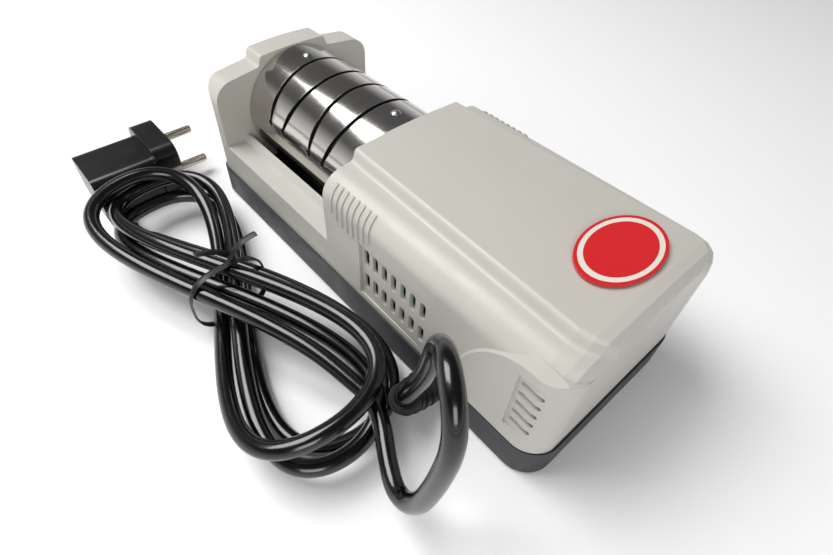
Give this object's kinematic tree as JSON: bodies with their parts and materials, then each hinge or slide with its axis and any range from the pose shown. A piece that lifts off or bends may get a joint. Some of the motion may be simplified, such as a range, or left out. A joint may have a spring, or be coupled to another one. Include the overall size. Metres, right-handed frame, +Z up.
{
  "type": "electric knife sharpener",
  "caption": "Bench-top electric knife sharpener: a motor turns grinding wheels under a polished slotted cylinder cover, with rocker switch, rear vents and a tied mains cord.",
  "frame": {"origin": "centre of the body's footprint, on the plane its feet rest on", "axes": "+X along the body towards the motor end, +Y towards the switch side, +Z up"},
  "size_m": [0.287, 0.1824, 0.0902],
  "materials": {
    "charcoal": "fine spark-eroded grain",
    "light_grey": "warm light grey, fine satin grain",
    "zinc_steel": "zinc plated",
    "foot_rubber": "moulded",
    "black_gloss": "glossy",
    "polished_steel": "polished stainless sheet",
    "black_matt": "satin moulding",
    "coarse_abrasive": "coarse bonded grit",
    "fine_abrasive": "fine bonded grit",
    "aluminium": "turned",
    "bronze": "sintered bronze",
    "plated_can": "zinc plated pressing",
    "ferrite": "sintered ferrite",
    "lamination": "varnished laminations",
    "copper": "copper",
    "brass": "pressed brass",
    "carbon": "pressed carbon",
    "board_green": "solder mask",
    "capacitor_sleeve": "shrink sleeve",
    "badge_pale": "plain oval plate with a red rim",
    "cord_black": "glossy PVC sheath",
    "relief_rubber": "soft moulding",
    "tie_black": "flat tie",
    "plug_black": "satin black moulding",
    "nickel_brass": "nickel plated brass"
  },
  "bodies": {
    "body": {"base_pan": "charcoal", "case_screws": "zinc_steel", "rubber_feet": "foot_rubber", "upper_housing": "light_grey", "switch_frame": "black_gloss", "slotted_cover": "polished_steel", "cover_screws": "polished_steel", "knife_guide": "black_matt", "outboard_bearing_block": "black_matt", "inboard_bearing_block": "black_matt", "outboard_bush": "bronze", "inboard_bush": "bronze", "motor_can": "plated_can", "motor_front_cap": "plated_can", "motor_rear_cap": "plated_can", "motor_front_bush": "bronze", "motor_rear_bush": "bronze", "motor_magnets": "ferrite", "brush_holders": "brass", "carbon_brushes": "carbon", "motor_saddle": "black_matt", "motor_strap": "zinc_steel", "strap_screws": "zinc_steel", "circuit_board": "board_green", "board_screws": "zinc_steel", "board_capacitor": "capacitor_sleeve", "board_rectifier": "black_matt", "cord_clamp": "black_matt", "clamp_screws": "zinc_steel", "badge": "badge_pale", "cord_lead": "cord_black", "cord_hank": "cord_black", "cord_tail": "cord_black", "strain_relief": "relief_rubber", "twist_tie": "tie_black", "plug_body": "plug_black", "plug_pins": "nickel_brass", "plug_clips": "nickel_brass", "plug_grommet": "relief_rubber"},
    "rotor": {"motor_shaft": "zinc_steel", "spindle": "zinc_steel", "shaft_coupling": "aluminium", "armature_core": "lamination", "armature_windings": "copper", "commutator": "copper", "coarse_wheel": "coarse_abrasive", "fine_wheel": "fine_abrasive", "wheel_spacers": "aluminium", "wheel_nut": "zinc_steel", "cooling_fan": "black_matt"},
    "rocker": {"switch_rocker": "black_gloss"}
  },
  "joints": [
    {"name": "rotor_spin", "type": "hinge", "parent": "body", "child": "rotor", "pos_m": [0, 0, 0.0473], "axis": [1, 0, 0], "continuous": true},
    {"name": "rocker_tilt", "type": "hinge", "parent": "body", "child": "rocker", "pos_m": [0.07, 0.043, 0.045], "axis": [0, 0, 1], "range_deg": [0, 14]}
  ]
}
